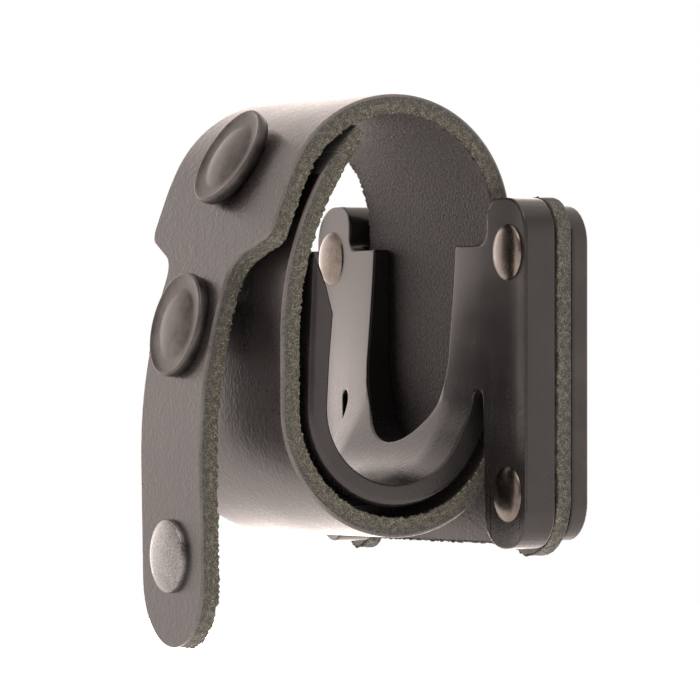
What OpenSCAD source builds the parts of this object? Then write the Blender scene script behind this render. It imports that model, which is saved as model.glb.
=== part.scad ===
// Strap-and-hook holder: a leather strap loop closed by press studs, riveted between
// a moulded plate with a spring hook and a thin back plate.
// Millimetres. The origin is the middle of the back plate's rear face, +Y points out of
// that face, +Z is up, and the loop and the hook reach towards -Y.

/* [Strap] */
// Width of the strap round the loop
strap_w = 38; // [34:0.5:39]
// Thickness of the leather
strap_t = 2.7; // [2.4:0.1:2.8]
// Outer radius of the loop's round top and bottom
loop_r = 18.2; // [18:0.1:18.6]
// Height between the centres of the round top and the round bottom
loop_rise = 26; // [25:0.5:27]
// Angle round the top, from the back, where the flap starts to bend away
flap_start = 120; // [110:1:122]
// Width of the narrow tab
tab_w = 19.4; // [18:0.2:21]
// Height at which the strap starts to narrow
shoulder_z = 18.9; // [18:0.1:20]
// Length of the tab below its fold line
tab_end_l = 29.1; // [28:0.1:31]

/* [Plates] */
// Width of the moulded plate, the pad and the back plate
plate_w = 64; // [62:0.5:68]
// Height of the moulded plate
plate_h = 49.4; // [48:0.2:52]
// Thickness of the moulded plate at its rivets
plate_t = 4.8; // [4.6:0.1:5.4]
// Thickness of the leather pad
pad_t = 2.7; // [2:0.1:3.2]
// Thickness of the back plate
back_t = 2.6; // [2.4:0.1:3.2]
// Radius of the plates' corners
corner_r = 5.4; // [4:0.2:7]
// How far the middle of the moulded plate stands forward
crown = 1.4; // [0.8:0.1:1.6]
// Width of the mouth that the strap leaves through
mouth_w = 42; // [41:0.5:44]
// Depth of the mouth below the plate's top edge
mouth_d = 6.6; // [5:0.2:8]
// Width of the window below the mouth
window_w = 24.8; // [20:0.2:26]
// Width of the slits beside the tongue
slit_w = 2.4; // [2:0.1:2.6]

/* [Hook] */
// Width of the hook and its tongue
hook_w = 38.4; // [36:0.2:38.6]
// Inner radius of the hook's bend
hook_r = 10.2; // [9.6:0.1:10.4]
// Thickness of the hook
hook_t = 3.6; // [3:0.1:3.7]
// Height of the hook's tip above the centre of its bend
hook_rise = 21.6; // [16:0.2:22]

/* [Fasteners] */
// Distance between the rivets across the plate
rivet_dx = 53.8; // [52:0.2:55]
// Distance between the rivets up the plate
rivet_dz = 34; // [32:0.5:36]
// Diameter of a rivet head
rivet_d = 8; // [7:0.2:8.4]
// Diameter of a press-stud cap
cap_d = 15; // [13:0.5:15.5]
// Diameter of the small domed post on the tab's end
post_d = 10.4; // [9:0.2:11]

/* [Hidden] */
$fn = 48;

leather_colour = "#2d2b29";
plastic_colour = "#1d1d1f";
metal_colour = "#5b544e";
rivet_colour = "#6d655c";
spring_colour = "#a98f5a";

// Degrees per step along an arc, and steps round a corner
arc_step = 5;
corner_steps = 6;
// Gap between solids that move apart, gap between solids that rest together, room in a seat
move_gap = 0.1;
seat_gap = 0.02;
seat_room = 0.1;
// Longer than any cut through the part
far = 60;

// Planes of the riveted stack, from the rear face at zero
pad_y = -back_t;
plate_y = pad_y - pad_t;
front_y = plate_y - plate_t;

// Strap routes along the middle of the leather, as [length, turn] from behind the plate
mid_r = loop_r - strap_t / 2;
loop_y = plate_y - loop_r;
strap_start = [plate_y - strap_t / 2, 0];
loop_low = -4.9;
loop_high = loop_low + loop_rise;
function bend(r, turn) = [r * abs(turn) * PI / 180, turn];
over_top = [[loop_high, 0], bend(mid_r, flap_start)];
flap_lean = 153;
down_front = [
    bend(mid_r, flap_lean - flap_start),
    bend(40, 7),
    [11.4, 0],
    bend(60, 9),
    [2, 0],
    bend(70, 10)
];
under_bottom = [[-loop_low, 0], bend(mid_r, -180), [9.9, 0], bend(44, -31), [8.2, 0]];
tab_curve = bend(100, 2);
tab_run = [tab_curve, [tab_end_l - tab_curve[0], 0]];
flap_route = concat(over_top, down_front);

// A station is [y, z, heading]; a heading of 90 points up
function travel(s, l, turn) =
    turn == 0
    ? [s[0] + l * cos(s[2]), s[1] + l * sin(s[2]), s[2]]
    : let (r = l / turn * 180 / PI, h = s[2] + turn)
      [s[0] + r * (sin(h) - sin(s[2])), s[1] + r * (cos(s[2]) - cos(h)), h];
function follow(s, route, i = 0) =
    i == len(route)
    ? [s]
    : let (steps = max(1, ceil(abs(route[i][1]) / arc_step)))
      concat(
          [for (k = [0:steps - 1]) travel(s, route[i][0] * k / steps, route[i][1] * k / steps)],
          follow(travel(s, route[i][0], route[i][1]), route, i + 1)
      );
function finish(s, route) = let (all = follow(s, route)) all[len(all) - 1];
function total(route, i = 0) = i == len(route) ? 0 : route[i][0] + total(route, i + 1);
function along(s, route, l, i = 0) =
    l <= route[i][0]
    ? travel(s, l, route[i][1] * l / route[i][0])
    : along(travel(s, route[i][0], route[i][1]), route, l - route[i][0], i + 1);

up = [strap_start[0], strap_start[1], 90];
down = [strap_start[0], strap_start[1], -90];
flap_at = finish(up, over_top);
fold_at = finish(up, flap_route);

// Places of the press studs along the strap's middle; the tab folds onto the keeper
closing_turn = 30.2;
fold_reach = 16.2;
closing_at = along(up, flap_route, total(over_top) + bend(mid_r, closing_turn)[0]);
keeper_at = along(up, flap_route, total(flap_route) - fold_reach);
tab_stud_at = along(fold_at, tab_run, fold_reach);

// Shoulders between the strap and the tab, and the pared inner end of the strap
shoulder_slope = 21;
shoulder_r = 2.5;
neck_r = 4;
pared_l = 9;
pared_t = 0.25;

// Press-stud sizes along its axis, measured from the middle of the leather
half_t = strap_t / 2;
closing_cap_seat = half_t;
keeper_cap_seat = half_t - 0.45;
post_seat = half_t - 0.1;
post_side = 0.9;
socket_h = 2.4;
closing_seat = -half_t + 1.2;
keeper_seat = -half_t + 0.2;
socket_r = 6;
flange_t = 0.5;
cup_r = 4.9;
cavity_r = 3.6;
groove_drop = flange_t + 0.9;
spring_r = 3.4;
spring_wire = 0.35;
tube_r = 2.2;
hole_r = tube_r + seat_gap;
stud_r = 2.6;
stud_flange_r = 4.5;
shank_r = 1.5;
pin_r = shank_r + seat_gap;
stud_neck_r = 2.1;
stud_wall = 0.4;
stud_seat = -half_t - 1.95;
stud_top = closing_seat - flange_t - 0.3;
stud_h = 2.4;
loop_grip = 2.2;

// Rivets: shank, hole, and the depth of the cap let into the back plate
rivet_shank_r = 1.85;
rivet_hole_r = rivet_shank_r + 0.05;
rivet_seat = 1.3;

// Plate openings
slit_out = hook_w / 2 + slit_w;
slit_mid = slit_out - slit_w / 2;
slit_z = -2.4;
window_low = -9.8;
mouth_r = 2;
panel_back = plate_y - strap_t - 0.1;
panel_front = front_y - crown;
crown_slope = 1.2;

// Hook profile: the tongue leans off the plate, bends round and rises as an arm to the tip
bend_at = [loop_y - 0.3, loop_low];
hook_out = hook_r + hook_t;
tongue_lean = 26;
tongue_rise = 3.3;
tongue_drop = 3.2;
arm_lean = 4.5;
arm_l = 13.6;
tip_back = 1.4;
tip_land = [0.6, 1.6];
split_at = -38;
split_gap = 0.35;

// Points of an arc about c, of a corner b rounded between a and d, and of a rounded outline
function arc_points(c, r, from, sweep, steps) =
    [for (k = [0:steps]) let (a = from + sweep * k / steps) c + r * [cos(a), sin(a)]];
function arc(c, r, from, to) = arc_points(c, r, from, to - from, ceil(abs(to - from) / arc_step));
function unit(v) = v / norm(v);
function corner(a, b, d, r) =
    let (
        u = unit(a - b),
        v = unit(d - b),
        half = acos(u * v) / 2,
        c = b + unit(u + v) * r / sin(half),
        first = b + u * r / tan(half) - c,
        side = u[0] * v[1] - u[1] * v[0] > 0 ? -1 : 1,
        sweep = side * (180 - 2 * half)
    )
    arc_points(c, r, atan2(first[1], first[0]), sweep, corner_steps);
function flat2(p) = [p[0], p[1]];
function rounded(points) =
    let (n = len(points))
    [for (i = [0:n - 1])
        each points[i][2] == 0
            ? [flat2(points[i])]
            : corner(
                flat2(points[(i + n - 1) % n]),
                flat2(points[i]),
                flat2(points[(i + 1) % n]),
                points[i][2]
            )];
function box_points(w, low, high, r) =
    [[-w / 2, low, r], [w / 2, low, r], [w / 2, high, r], [-w / 2, high, r]];

// Extrusions of a side view across the width, and of a front view backwards from y
module across(w) {
    rotate([90, 0, 90]) linear_extrude(w, center = true) children();
}

module facing(y, depth) {
    translate([0, y, 0]) rotate([90, 0, 0]) linear_extrude(depth) children();
}

// A solid turned about the strap's outward normal at a station
module on_strap(s) {
    translate([0, s[0], s[1]]) rotate([s[2] - 180, 0, 0]) children();
}

module disc(r, low, high) {
    translate([0, 0, low]) cylinder(r = r, h = high - low);
}

module ribbon(stations) {
    outer = [for (s = stations) flat2(s) + half_t * [cos(s[2] - 90), sin(s[2] - 90)]];
    inner = [for (s = stations) flat2(s) - half_t * [cos(s[2] - 90), sin(s[2] - 90)]];
    polygon(concat(outer, [for (i = [len(inner) - 1:-1:0]) inner[i]]));
}

// The inner end of the strap is pared thin on its outer side
module skive() {
    tip = finish(down, under_bottom);
    translate(flat2(tip))
        rotate(tip[2])
            polygon([[1, pared_t], [1, strap_t], [-pared_l, strap_t], [-pared_l, half_t]]);
}

module leather(route, from) {
    across(strap_w) ribbon(follow(from, route));
}

// Front outline of the flap and the tab: full width, shoulders, tab, round end
module flap_outline(low, end_r) {
    w = strap_w / 2;
    t = tab_w / 2;
    neck_z = shoulder_z - (w - t) * tan(shoulder_slope);
    polygon(rounded([
        [-w, far, 0], [-w, shoulder_z, shoulder_r], [-t, neck_z, neck_r], [-t, low, end_r],
        [t, low, end_r], [t, neck_z, neck_r], [w, shoulder_z, shoulder_r], [w, far, 0]
    ]));
}

module each_rivet() {
    for (x = [-1, 1], z = [-1, 1])
        translate([x * rivet_dx / 2, 0, z * rivet_dz / 2]) children();
}

module rivet_holes() {
    each_rivet() rotate([90, 0, 0]) disc(rivet_hole_r, -1, far);
}

// Side view of the tongue and the hook
module hook_side() {
    tip = bend_at + [tip_back - hook_out, hook_rise];
    polygon(concat(
        [[panel_back, slit_z], [panel_front, slit_z], [panel_front, bend_at[1] + tongue_rise]],
        arc(bend_at, hook_r, -tongue_lean, -180),
        [bend_at + [arm_l * tan(arm_lean) - hook_r, arm_l], tip, tip - tip_land],
        arc(bend_at, hook_out, -180, -tongue_lean),
        [[panel_back, bend_at[1] + hook_out * sin(tongue_lean) - tongue_drop]]
    ));
}

// The part of the side view that stays with the plate, above the tongue's bending line
module tongue_root(gap) {
    translate(bend_at)
        rotate(split_at)
            translate([0, -gap])
                square(far);
}

// The window runs through the plate and the tongue, and ends in a half round
module window_cut() {
    w = window_w / 2;
    facing(0, -bend_at[0])
        polygon(rounded([[-w, far, 0], [-w, window_low, w - 0.1], [w, window_low, w - 0.1], [w, far, 0]]));
}

module hook_plate() {
    color(plastic_colour) difference() {
        union() {
            intersection() {
                translate([0, 0, -plate_h / 2]) linear_extrude(plate_h) plate_section();
                facing(0, far) plate_face();
            }
            across(hook_w + slit_w) intersection() {
                hook_side();
                tongue_root(0);
            }
        }
        facing(0, far) slits();
        window_cut();
        rivet_holes();
    }
}

// Front view of the plate without its mouth and the gap that the tongue hangs in
module plate_face() {
    top = plate_h / 2;
    m = mouth_w / 2;
    difference() {
        polygon(rounded(box_points(plate_w, -top, top, corner_r)));
        polygon(rounded([
            [-m, top - mouth_d, mouth_r], [m, top - mouth_d, mouth_r], [m, far, 0], [-m, far, 0]
        ]));
        translate([-slit_mid, -far]) square([2 * slit_mid, far + slit_z - slit_w]);
    }
}

module slits() {
    for (x = [-1, 1]) translate([x * slit_mid, slit_z - slit_w / 2]) {
        circle(d = slit_w);
        translate([-slit_w / 2, -far]) square([slit_w, far]);
    }
}

// Plan section of the plate: raised in the middle, with the strap's channel behind it
module plate_section() {
    w = plate_w / 2;
    m = mouth_w / 2;
    foot = rivet_dx / 2 - rivet_d / 2 - 0.1;
    polygon([
        [-w, plate_y], [-w, front_y], [-foot, front_y], [crown_slope - foot, panel_front],
        [foot - crown_slope, panel_front], [foot, front_y], [w, front_y], [w, plate_y],
        [m, plate_y], [m, panel_back], [-m, panel_back], [-m, plate_y]
    ]);
}

module spring_hook() {
    color(plastic_colour) difference() {
        across(hook_w) difference() {
            hook_side();
            tongue_root(split_gap);
        }
        window_cut();
    }
}

module leather_pad() {
    low = -plate_h / 2 - 1.1;
    high = plate_h / 2 + 0.1;
    bay = low + 2.4;
    color(leather_colour) difference() {
        facing(pad_y, pad_t) difference() {
            polygon(rounded(box_points(plate_w - 0.4, low, high, corner_r + 0.2)));
            polygon(rounded([
                [-slit_out, low - 3, 0], [slit_out, low - 3, 0],
                [slit_out - 2, bay, mouth_r], [2 - slit_out, bay, mouth_r]
            ]));
        }
        rivet_holes();
    }
}

module back_plate() {
    high = plate_h / 2 - 1.1;
    color(plastic_colour) difference() {
        facing(0, back_t) polygon(rounded(box_points(plate_w, -high, high, corner_r + 0.2)));
        rivet_holes();
        each_rivet() rotate([90, 0, 0]) disc(rivet_d / 2 + seat_room, -1, rivet_seat);
    }
}

module strap_loop() {
    color(leather_colour) difference() {
        union() {
            leather(over_top, up);
            across(strap_w) difference() {
                ribbon(follow(down, under_bottom));
                skive();
            }
        }
        on_strap(closing_at) {
            disc(shank_r + seat_room, stud_seat - loop_grip - 1, 0);
            disc(stud_flange_r + seat_room, stud_seat, 0);
            disc(post_d / 2 + seat_room, stud_seat - loop_grip - strap_t, stud_seat - loop_grip);
        }
    }
}

module strap_flap() {
    start = travel(flap_at, move_gap, move_gap / mid_r * 180 / PI);
    color(leather_colour) difference() {
        intersection() {
            across(strap_w) ribbon(concat(
                [start],
                [for (s = follow(flap_at, down_front)) if (s[2] > start[2]) s]
            ));
            facing(0, far) flap_outline(-far, 0);
        }
        on_strap(closing_at) popper_hole(closing_cap_seat, closing_seat);
        on_strap(keeper_at) popper_hole(keeper_cap_seat, keeper_seat);
    }
}

module strap_tab() {
    start = travel(fold_at, move_gap, 0);
    straight = finish(fold_at, [tab_curve]);
    low = finish(fold_at, tab_run)[1];
    color(leather_colour) difference() {
        intersection() {
            across(strap_w) ribbon(concat([start], follow(straight, [tab_run[1]])));
            facing(0, far) flap_outline(low, tab_w / 2 - 0.1);
        }
        on_strap(tab_stud_at) {
            disc(shank_r + seat_room, -strap_t, strap_t);
            disc(post_d / 2 + seat_room, post_seat, strap_t);
            disc(stud_flange_r + seat_room, -strap_t, keeper_seat);
        }
    }
}

// Hole through the leather, with the seats that the cap and the socket press into it
module popper_hole(cap_seat, socket_seat) {
    disc(hole_r, -strap_t, strap_t);
    disc(cap_d / 2 + seat_room, cap_seat, 2 * strap_t);
    disc(socket_r + seat_room, -2 * strap_t, socket_seat);
}

// Rounded disc of radius r that rises by h above the plane at low
module dome(r, h, low) {
    ball_r = (r * r + h * h) / (2 * h);
    intersection() {
        translate([0, 0, low + h - ball_r]) sphere(r = ball_r, $fn = 96);
        disc(r, low, low + h + 1);
    }
}

module on_rivet(x, z) {
    color(rivet_colour) translate([x * rivet_dx / 2, 0, z * rivet_dz / 2]) rotate([90, 0, 0]) children();
}

module rivet(x, z) {
    on_rivet(x, z) union() {
        dome(rivet_d / 2, rivet_d * 0.17, -front_y);
        disc(rivet_shank_r, rivet_seat, -front_y + 0.2);
    }
}

module rivet_cap(x, z) {
    r = rivet_d / 2;
    low = rivet_seat - seat_gap;
    on_rivet(x, z) rotate_extrude() polygon([[0, 0.3], [r - 0.9, 0.1], [r, 0.6], [r, low], [0, low]]);
}

// Outer cap of a press stud: raised rim, flat ring, low dome, and the tube through the leather
module popper_cap(s, seat, socket_seat) {
    r = cap_d / 2;
    color(metal_colour) on_strap(s) union() {
        rotate_extrude($fn = 96)
            polygon([
                [0, seat], [r - 0.3, seat], [r, seat + 0.3], [r, seat + 1.2],
                [r - 0.35, seat + 1.8], [r - 0.7, seat + 1.95], [r - 1.1, seat + 1.8],
                [r * 0.6, seat + 1.75], [r * 0.45, seat + 2], [r * 0.2, seat + 2.15], [0, seat + 2.2]
            ]);
        disc(tube_r, socket_seat - flange_t, seat + 0.5);
    }
}

// Inner half of a press stud: flange, cup and the groove that holds the ring spring
module popper_socket(s, top) {
    rim = top - socket_h;
    groove = top - groove_drop;
    groove_r = cavity_r + 0.35;
    groove_half = 0.4;
    color(metal_colour) on_strap(s)
        rotate_extrude()
            polygon([
                [hole_r, top], [socket_r, top], [socket_r, top - flange_t],
                [cup_r + 0.5, top - flange_t - 0.2], [cup_r, rim + 0.3], [cup_r - 0.4, rim],
                [cavity_r, rim], [cavity_r, groove - groove_half],
                [groove_r, groove - groove_half], [groove_r, groove + groove_half],
                [cavity_r, groove + groove_half], [cavity_r, top - flange_t], [hole_r, top - flange_t]
            ]);
}

module popper_spring(s, top) {
    color(spring_colour) on_strap(s)
        translate([0, 0, top - groove_drop])
            rotate_extrude(angle = 320) translate([spring_r, 0]) circle(r = spring_wire, $fn = 16);
}

// Male half of a press stud, from its flange at low to its rounded head at high
module popper_stud(s, low, high) {
    dir = high > low ? 1 : -1;
    color(metal_colour) on_strap(s)
        rotate_extrude()
            polygon([
                [pin_r, low], [stud_flange_r, low], [stud_flange_r, low + dir * 0.4],
                [stud_neck_r, low + dir * 0.6], [stud_neck_r, high - dir * 1.2], [stud_r, high - dir * 0.9],
                [stud_r, high - dir * 0.5], [stud_neck_r, high], [0, high],
                [0, high - dir * stud_wall], [pin_r, high - dir * stud_wall]
            ]);
}

module closing_post() {
    low = stud_seat - loop_grip;
    r = post_d / 2;
    color(metal_colour) on_strap(closing_at) union() {
        rotate_extrude() polygon([[0, low], [r, low], [r, low - 0.5], [r - 1, low - 0.9], [0, low - 1]]);
        disc(shank_r, low - 0.5, stud_top - stud_wall - seat_gap);
    }
}

module tab_post() {
    color(metal_colour) on_strap(tab_stud_at) union() {
        disc(post_d / 2, post_seat, post_seat + post_side);
        dome(post_d / 2, post_d * 0.09, post_seat + post_side);
        disc(shank_r, keeper_seat - stud_h + stud_wall + seat_gap, post_seat + 0.3);
    }
}

hook_plate();
spring_hook();
leather_pad();
back_plate();
strap_loop();
strap_flap();
strap_tab();
rivet(1, 1);  // rivet_near_top
rivet(1, -1);  // rivet_near_bottom
rivet(-1, 1);  // rivet_far_top
rivet(-1, -1);  // rivet_far_bottom
rivet_cap(1, 1);  // rivet_cap_near_top
rivet_cap(1, -1);  // rivet_cap_near_bottom
rivet_cap(-1, 1);  // rivet_cap_far_top
rivet_cap(-1, -1);  // rivet_cap_far_bottom
popper_cap(closing_at, closing_cap_seat, closing_seat);  // closing_cap
popper_socket(closing_at, closing_seat);  // closing_socket
popper_spring(closing_at, closing_seat);  // closing_spring
popper_stud(closing_at, stud_seat, stud_top);  // closing_stud
closing_post();
popper_cap(keeper_at, keeper_cap_seat, keeper_seat);  // keeper_cap
popper_socket(keeper_at, keeper_seat);  // keeper_socket
popper_spring(keeper_at, keeper_seat);  // keeper_spring
tab_post();
popper_stud(tab_stud_at, keeper_seat, keeper_seat - stud_h);  // tab_stud
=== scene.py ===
"""Strap and hook holder: a leather loop with a press-stud flap, riveted behind a hooked plate."""

import logging
import math
from dataclasses import dataclass, field
from enum import Enum
from typing import Callable, Iterable, Sequence

import bmesh
import bpy
import numpy as np
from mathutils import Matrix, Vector

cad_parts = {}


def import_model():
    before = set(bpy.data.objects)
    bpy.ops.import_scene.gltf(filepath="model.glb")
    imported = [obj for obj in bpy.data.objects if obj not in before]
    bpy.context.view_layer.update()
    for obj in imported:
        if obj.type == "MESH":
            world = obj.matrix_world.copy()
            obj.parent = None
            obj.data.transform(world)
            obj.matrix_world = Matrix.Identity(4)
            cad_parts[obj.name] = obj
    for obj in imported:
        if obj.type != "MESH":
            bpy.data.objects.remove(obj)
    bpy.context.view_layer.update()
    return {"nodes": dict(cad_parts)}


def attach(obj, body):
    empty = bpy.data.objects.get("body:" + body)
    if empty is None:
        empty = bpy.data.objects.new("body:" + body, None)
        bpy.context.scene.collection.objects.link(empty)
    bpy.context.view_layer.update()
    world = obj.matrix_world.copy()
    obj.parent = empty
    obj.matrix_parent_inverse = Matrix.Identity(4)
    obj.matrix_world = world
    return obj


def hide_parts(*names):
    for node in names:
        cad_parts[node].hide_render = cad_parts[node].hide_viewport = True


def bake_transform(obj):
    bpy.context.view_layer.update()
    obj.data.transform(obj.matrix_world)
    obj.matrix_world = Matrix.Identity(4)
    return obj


LOG = logging.getLogger("holder")
MM = 0.001
NEAR = 0.01  # millimetres within which a place counts as met
SMOOTH = 40  # degrees up to which an edge is shaded smooth
SMOOTH_PAD = 45
SMOOTH_PLASTIC = 35
FORWARD = Vector((0, -1, 0))
DOUBLE = 0.002
SORT_FROM = (0.31, 0.17, 0.23)

Point = tuple[float, float, float]
Pair = tuple[float, float]
Pairs = tuple[Pair, ...]
Stops = Sequence[tuple[float, Point]]
Socket = bpy.types.NodeSocket
Material = bpy.types.Material
Piece = bpy.types.Object


class Slot(Enum):
    """Material slots of the record."""

    LEATHER = "leather"
    PLASTIC = "plastic"
    RIVET = "rivet_metal"
    STUD = "stud_metal"


class Body(Enum):
    """Moving bodies of the frame."""

    HOLDER = "holder"
    HOOK = "hook"
    FLAP = "flap"
    TAB = "tab"


class Side(Enum):
    """Faces of a strip of leather, numbered as its material slots."""

    GRAIN = 0
    FLESH = 1
    EDGE = 2
    RIM = 3


class Coords(Enum):
    """Texture coordinates that a finish reads."""

    OBJECT = "Object"
    UV = "UV"


class NodeSheet:
    """Node tree of one material, with short calls for the nodes that the finishes use."""

    mix_inputs = (0, 6, 7)
    mix_result = 2

    def __init__(self, name: str) -> None:
        """Start a material.

        Args:
            name: name of the material.
        """
        self.material = bpy.data.materials.new(name)
        self.material.use_nodes = True
        self.tree = self.material.node_tree
        self.shader = self.tree.nodes["Principled BSDF"]

    def feed(self, socket: Socket, value: object) -> None:
        """Link or set one input.

        Args:
            socket: input that is filled.
            value: an output socket, or a constant.
        """
        if isinstance(value, bpy.types.NodeSocket):
            self.tree.links.new(value, socket)
        else:
            socket.default_value = value

    def fill(self, node: bpy.types.Node, inputs: dict[str, object]) -> None:
        """Fill a node's inputs by name, with underscores for spaces."""
        for key, value in inputs.items():
            self.feed(node.inputs[key.replace("_", " ")], value)

    def node(self, kind: str, **inputs: object) -> bpy.types.Node:
        """Add a node and fill its inputs.

        Args:
            kind: node type.
            inputs: values or sockets by input name.

        Returns:
            The new node.
        """
        made = self.tree.nodes.new(kind)
        self.fill(made, inputs)
        return made

    def calc(self, kind: str, operation: str, *values: object) -> bpy.types.Node:
        """Add a math node and fill its inputs in order.

        Args:
            kind: node type.
            operation: what it does.
            values: values or sockets.

        Returns:
            The new node.
        """
        made = self.tree.nodes.new(kind)
        made.operation = operation
        for socket, value in zip(made.inputs, values):
            self.feed(socket, value)
        return made

    def place(self, coords: Coords, drawn: Point = (1, 1, 1), turn: float = 0.0) -> Socket:
        """Texture coordinates, turned about Y and drawn out.

        Args:
            coords: which coordinates are read.
            drawn: how far the pattern is drawn out along each axis.
            turn: turn of the pattern in degrees.

        Returns:
            The vector socket.
        """
        source = self.tree.nodes.new("ShaderNodeTexCoord").outputs[coords.value]
        turned_by = (0, math.radians(turn), 0)
        made = self.node("ShaderNodeMapping", Vector=source, Scale=drawn, Rotation=turned_by)
        made.vector_type = "TEXTURE"
        return made.outputs["Vector"]

    def noise(self, vector: Socket, scale: float, detail: float = 3.0, rough: float = 0.55) -> Socket:
        """Noise value with some features per metre, octaves and weight of the small octaves."""
        made = self.node("ShaderNodeTexNoise", Vector=vector, Scale=scale, Detail=detail, Roughness=rough)
        return made.outputs["Fac"]

    def cells(self, vector: Socket, scale: float, soft: float = 0.6) -> Socket:
        """Distance to the middle of soft cells.

        Args:
            vector: coordinates.
            scale: cells per metre.
            soft: softness of the borders.

        Returns:
            The distance socket.
        """
        made = self.tree.nodes.new("ShaderNodeTexVoronoi")
        made.feature = "SMOOTH_F1"
        self.fill(made, {"Vector": vector, "Scale": scale, "Smoothness": soft})
        return made.outputs["Distance"]

    def ramp(self, value: Socket, stops: Stops) -> Socket:
        """Colours along a value.

        Args:
            value: driving value.
            stops: places and colours.

        Returns:
            The colour socket.
        """
        made = self.node("ShaderNodeValToRGB", Fac=value)
        band = made.color_ramp.elements
        while len(band) < len(stops):
            band.new(0.5)
        for element, (place, colour) in zip(band, stops):
            element.position = place
            element.color = (*colour, 1.0)
        return made.outputs["Color"]

    def spread(self, value: Socket, span: Pair, start: float = 0.0, end: float = 1.0) -> Socket:
        """Map a value that goes from start to end onto a span."""
        ends = {"From_Min": start, "From_Max": end, "To_Min": span[0], "To_Max": span[1]}
        return self.node("ShaderNodeMapRange", Value=value, **ends).outputs["Result"]

    def sum(self, first: Socket, second: Socket, share: float) -> Socket:
        """One value, and a share of a second one."""
        return self.calc("ShaderNodeMath", "MULTIPLY_ADD", second, share, first).outputs["Value"]

    def times(self, first: Socket, second: Socket) -> Socket:
        """Product of two values."""
        return self.calc("ShaderNodeMath", "MULTIPLY", first, second).outputs["Value"]

    def mix(self, share: Socket, first: object, second: object) -> Socket:
        """Mix two colours.

        Args:
            share: 0 for the first, 1 for the second.
            first: colour or colour socket.
            second: colour or colour socket.

        Returns:
            The mixed colour socket.
        """
        made = self.tree.nodes.new("ShaderNodeMix")
        made.data_type = "RGBA"
        for place, value in zip(self.mix_inputs, (share, first, second)):
            self.feed(made.inputs[place], value)
        return made.outputs[self.mix_result]

    def axis(self, vector: Socket, name: str) -> Socket:
        """One component of a vector socket, X, Y or Z."""
        return self.node("ShaderNodeSeparateXYZ", Vector=vector).outputs[name]

    def bump(self, height: Socket, strength: float, depth: float) -> None:
        """Raise the surface by a height value.

        Args:
            height: height value.
            strength: strength of the bump.
            depth: depth in millimetres.
        """
        made = self.node("ShaderNodeBump", Height=height, Strength=strength, Distance=depth * MM)
        old = self.shader.inputs["Normal"]
        if old.is_linked:
            self.tree.links.new(old.links[0].from_socket, made.inputs["Normal"])
        self.tree.links.new(made.outputs["Normal"], old)

    def paint(self, **inputs: object) -> Material:
        """Fill the shader's own inputs, and give the finished material."""
        self.fill(self.shader, inputs)
        return self.material


class SkySheet(NodeSheet):
    """Node tree of the world behind the object."""

    def __init__(self, name: str) -> None:
        """Start a world.

        Args:
            name: name of the world.
        """
        self.world = bpy.data.worlds.new(name)
        self.world.use_nodes = True
        self.material = None
        self.tree = self.world.node_tree
        self.shader = self.tree.nodes["Background"]

    def facing(self, way: Socket, towards: Vector) -> Socket:
        """How far a direction points towards another, from -1 to 1."""
        return self.calc("ShaderNodeVectorMath", "DOT_PRODUCT", way, towards.normalized()).outputs["Value"]

    def dim(self, colour: Socket, share: Socket) -> Socket:
        """Scale a colour by a value.

        Args:
            colour: colour socket.
            share: factor socket.

        Returns:
            The scaled colour socket.
        """
        made = self.calc("ShaderNodeVectorMath", "SCALE", colour)
        self.feed(made.inputs["Scale"], share)
        return made.outputs["Vector"]


@dataclass(frozen=True)
class GrainLeather:
    """Dyed grain side: fine pores, soft creases and a waxed sheen."""

    name: str = "grain_leather"
    dark: Point = (0.0068, 0.0064, 0.0061)
    light: Point = (0.016, 0.0149, 0.0143)
    coords: Coords = Coords.UV
    pores: float = 1700.0
    specks: float = 1900.0
    clouds: float = 90.0
    creases: float = 420.0
    gloss: Pair = (0.24, 0.37)

    def make(self) -> Material:
        """Build the material on its coordinates.

        Returns:
            The material.
        """
        sheet = NodeSheet(self.name)
        flat = sheet.place(self.coords)
        cloud = sheet.noise(flat, self.clouds, 4.0)
        speck = sheet.noise(flat, self.specks, 3.0, 0.7)
        pore = sheet.cells(flat, self.pores)
        tone = sheet.sum(cloud, speck, 0.45)
        colour = sheet.ramp(tone, [(0.45, self.dark), (0.95, self.light)])
        sheet.bump(sheet.sum(pore, speck, 0.5), 0.26, 0.10)
        sheet.bump(sheet.noise(flat, self.creases, 4.0), 0.12, 0.22)
        rough = sheet.spread(sheet.sum(speck, cloud, 0.6), self.gloss, 0.5, 1.1)
        return sheet.paint(Base_Color=colour, Roughness=rough, Specular_IOR_Level=0.48)


@dataclass(frozen=True)
class FleshLeather:
    """Rough inner side: short pebbled nap with pale and dark patches."""

    name: str = "flesh_leather"
    dark: Point = (0.011, 0.0102, 0.0097)
    light: Point = (0.062, 0.0568, 0.0536)
    patches: float = 190.0
    pebbles: float = 2400.0
    fibres: float = 3200.0
    drawn: Point = (1.0, 1.33, 1.0)
    gloss: Pair = (0.64, 0.46)

    def make(self) -> Material:
        """Build the material on the strap's own UV map.

        Returns:
            The material.
        """
        sheet = NodeSheet(self.name)
        flat = sheet.place(Coords.UV)
        patch = sheet.noise(flat, self.patches, 3.0, 0.6)
        pebble = sheet.cells(flat, self.pebbles, 0.7)
        fibre = sheet.noise(sheet.place(Coords.UV, self.drawn), self.fibres, 4.0, 0.65)
        tone = sheet.sum(sheet.sum(fibre, patch, 0.12), pebble, -0.2)
        colour = sheet.ramp(tone, [(0.24, self.dark), (0.80, self.light)])
        sheet.bump(fibre, 0.65, 0.22)
        sheet.bump(pebble, 0.70, -0.26)
        rough = sheet.spread(fibre, self.gloss, 0.35, 0.65)
        return sheet.paint(Base_Color=colour, Roughness=rough, Specular_IOR_Level=0.45)


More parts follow.
